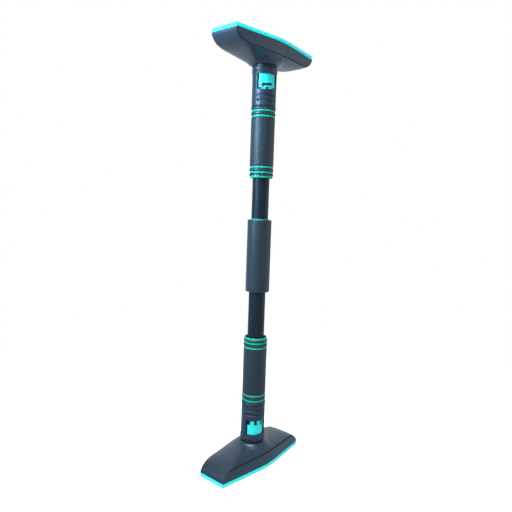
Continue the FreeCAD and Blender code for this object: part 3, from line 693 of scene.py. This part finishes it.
columns = len(ARROW_COLUMNS)
bpy.ops.object.select_all(action="DESELECT")
bpy.ops.mesh.primitive_grid_add(x_subdivisions=columns - 1, y_subdivisions=2, size=2.0)
arrow = bpy.context.object
arrow.name = "upper_arrow_print"
for vertex in arrow.data.vertices:
    column = round((vertex.co.x + 1.0) / 2.0 * (columns - 1))
    sideways, half_height = ARROW_COLUMNS[column]
    bearing = math.radians(ARROW_AZIMUTH) + sideways / ARROW_RADIUS
    level = ARROW_LEVEL + ARROW_TILT * sideways + vertex.co.y * half_height
    vertex.co = Vector((ARROW_RADIUS * math.cos(bearing), ARROW_RADIUS * math.sin(bearing), level)) * MM
apply_modifier(arrow, "SOLIDIFY", thickness=ARROW_THICKNESS * MM, offset=1.0)
ink = machined_plastic("black_print", (0.012, 0.014, 0.016, 1.0), 0.45)
fit(arrow, ink, "black_plastic", "upper_lock")

# ------------------------------------------------------------------ inside of the sleeves
# A steel tube that turns on the foot's spindle, with a toothed lock ring welded on it, a drive
# screw pinned in it and a plastic bush that guides the inner tube.


def coated_steel_finish(name, colour, roughness):
    """Baked powder coat: orange peel, slight gloss changes and thin rub marks along the tube."""
    material, make = new_material(name)
    cloud = noise(make, 20.0, 3.0)
    peel = noise(make, 620.0, 2.0)
    rubs = ramp(make, noise(make, 80.0, 5.0, (1.0, 1.0, 0.06)), 0.60, 0.76)
    tone = blend_colours(make, cloud, shaded(colour, 0.90), shaded(colour, 1.10))
    tone = blend_colours(make, rubs * 0.25, tone, shaded(colour, 2.2))
    normal = make.node("Bump", {}, {"Strength": 0.3, "Distance": 0.00008, "Height": peel})
    shader = make.node("BsdfPrincipled", {}, {
        "Base Color": tone, "Normal": normal, "Specular IOR Level": 0.24,
        "Roughness": roughness + 0.10 * cloud - 0.08 * rubs})
    make.node("OutputMaterial", {}, {"Surface": shader})
    return material


coated_steel = coated_steel_finish("coated_steel", (0.005, 0.009, 0.015, 1.0), 0.34)
black_plastic = moulded_plastic("black_plastic", (0.018, 0.018, 0.020, 1.0), 0.45)
repaint(coated_steel, "outer_tube")
repaint(zinc, "hub_pins", "drive_pin", "screw_plug", "drive_screw", "lock_ring")
repaint(black_plastic, "guide_bush")

# ------------------------------------------------------------------ ring carriers and end caps
# Turned-looking slate mouldings pressed on the ends of each sleeve, with two seats each for the
# green rings; the carrier has a small flange where it turns against the lock housing.
SLEEVE_RADIUS = 18.05               # inner radius of all that is drawn over the steel sleeve
RING_LEVELS = (123.1, 133.0, 226.4, 235.9)
RING_HEIGHT = 3.8
SEAT_RADIUS = 20.2
CARRIER_RADIUS = 22.8


def seat(level):
    """The groove that a ring lies in, with a narrow relief at each side of the ring."""
    return [(CARRIER_RADIUS, level - 1.0), (22.3, level - 0.7), (21.0, level - 0.7), (SEAT_RADIUS, level),
            (SEAT_RADIUS, level + RING_HEIGHT), (21.0, level + RING_HEIGHT + 0.7),
            (22.3, level + RING_HEIGHT + 0.7), (CARRIER_RADIUS, level + RING_HEIGHT + 1.0)]


CARRIER_FLANGE = [(SLEEVE_RADIUS, 111.0), (19.7, 111.0), (19.7, 116.6), (22.0, 117.0),
                  (23.4, 117.7), (23.4, 119.0), (22.5, 120.3)]
carrier = lathe("lower_carrier", CARRIER_FLANGE + seat(RING_LEVELS[0]) + seat(RING_LEVELS[1])[:4]
                + [(SEAT_RADIUS, 137.0), (SLEEVE_RADIUS, 137.0)], 0.2)
smooth(carrier, 40.0)
fit_both_ends(carrier, "carrier", slate, "slate_plastic", "sleeve", "ring_carrier")

CAP_MOUTH = [(CARRIER_RADIUS, 243.1), (22.1, 243.8), (SLEEVE_RADIUS, 243.8)]
cap = lathe("lower_cap", [(SLEEVE_RADIUS, RING_LEVELS[2]), (SEAT_RADIUS, RING_LEVELS[2])]
            + seat(RING_LEVELS[2])[4:] + seat(RING_LEVELS[3]) + CAP_MOUTH, 0.2)
smooth(cap, 40.0)
fit_both_ends(cap, "cap", slate, "slate_plastic", "sleeve", "end_cap")

# ------------------------------------------------------------------ green rings
# Two glossy green rings in each carrier and each cap, and one rounded ring that closes the mouth
# of the sleeve.
GREEN = (0.002, 0.35, 0.21, 1.0)
green_plastic = gloss_plastic("green_plastic", GREEN, 0.30)


def accent_ring(name, level):
    return lathe(name, [
        (SEAT_RADIUS + 0.05, level + 0.05), (21.7, level + 0.05), (22.2, level + 0.7),
        (22.2, level + RING_HEIGHT - 0.7), (21.7, level + RING_HEIGHT - 0.05),
        (SEAT_RADIUS + 0.05, level + RING_HEIGHT - 0.05)], 0.25)


for name, first, second, node in (("carrier_ring", 0, 1, "carrier_rings"), ("cap_ring", 2, 3, "cap_rings")):
    for number, place in enumerate((first, second), start=1):
        ring = accent_ring("lower_%s_%d" % (name, number), RING_LEVELS[place])
        smooth(ring, 40.0)
        fit_both_ends(ring, "%s_%d" % (name, number), green_plastic, "green_plastic", "sleeve", node)

mouth = lathe("lower_mouth_ring", [
    (19.7, 243.85), (21.7, 243.85), (21.7, 246.6), (21.3, 247.6), (20.7, 248.0), (20.1, 247.7),
    (19.7, 246.8)], 0.25)
smooth(mouth, 50.0)
fit_both_ends(mouth, "mouth_ring", green_plastic, "green_plastic", "sleeve", "end_ring")

# ------------------------------------------------------------------ end grips
# Soft slate sleeves of closed-cell foam, drawn over the steel tubes, with moulded rounded ends.
GRIP_RADIUS = 22.4


def foam_finish(name, colour):
    """Skinned foam: tiny cells under a soft matt skin, with slow changes of tone."""
    material, make = new_material(name)
    cloud = noise(make, 16.0, 3.0)
    cells = make.node("TexVoronoi", {}, {"Vector": make.node("TexCoord", {}, {}, "Object"), "Scale": 1100.0})
    skin = noise(make, 260.0, 3.0)
    tone = blend_colours(make, cloud, shaded(colour, 0.91), shaded(colour, 1.09))
    tone = blend_colours(make, ramp(make, cells, 0.5, 0.9) * 0.2, tone, shaded(colour, 0.6))
    height = 0.6 * cells + 0.4 * skin
    normal = make.node("Bump", {}, {"Strength": 0.4, "Distance": 0.0001, "Height": height})
    shader = make.node("BsdfPrincipled", {}, {
        "Base Color": tone, "Normal": normal, "Roughness": 0.40 + 0.12 * cloud + 0.05 * skin,
        "Specular IOR Level": 0.40, "Sheen Weight": 0.04, "Sheen Roughness": 0.5})
    make.node("OutputMaterial", {}, {"Surface": shader})
    return material


foam = foam_finish("slate_foam", (0.011, 0.018, 0.026, 1.0))
grip = lathe("lower_grip_foam", [
    (SLEEVE_RADIUS, 137.05), (21.5, 137.05), (22.2, 137.4), (GRIP_RADIUS, 138.3), (GRIP_RADIUS, 225.0),
    (22.2, 225.9), (21.5, 226.15), (SLEEVE_RADIUS, 226.15)], 0.15)
smooth(grip, 40.0)
upper_grip = fit_both_ends(grip, "grip_foam", foam, "slate_foam", "sleeve", "end_grip")

# ------------------------------------------------------------------ inner tube and centre grip
# The powder-coated steel tube that both sleeves draw on, with a brass nut pinned in each end.  A
# thin green liner and a thick foam grip sit at its middle.
LINER_RADIUS = 17.35
CENTRE_GRIP_RADIUS = 22.8
brass = plated_steel("brass", (0.72, 0.53, 0.25, 1.0), 0.24, (1.0, 1.0, 24.0))
repaint(coated_steel, "inner_tube")
repaint(brass, "drive_nut")
repaint(zinc, "nut_pins")
repaint(green_plastic, "grip_liner")

middle_grip = lathe("centre_grip_foam", [
    (LINER_RADIUS, 336.5), (21.7, 336.5), (22.5, 336.9), (CENTRE_GRIP_RADIUS, 337.9),
    (CENTRE_GRIP_RADIUS, 472.1), (22.5, 473.1), (21.7, 473.5), (LINER_RADIUS, 473.5)], 0.15)
smooth(middle_grip, 40.0)
fit(middle_grip, foam, "slate_foam", "middle", "centre_grip")
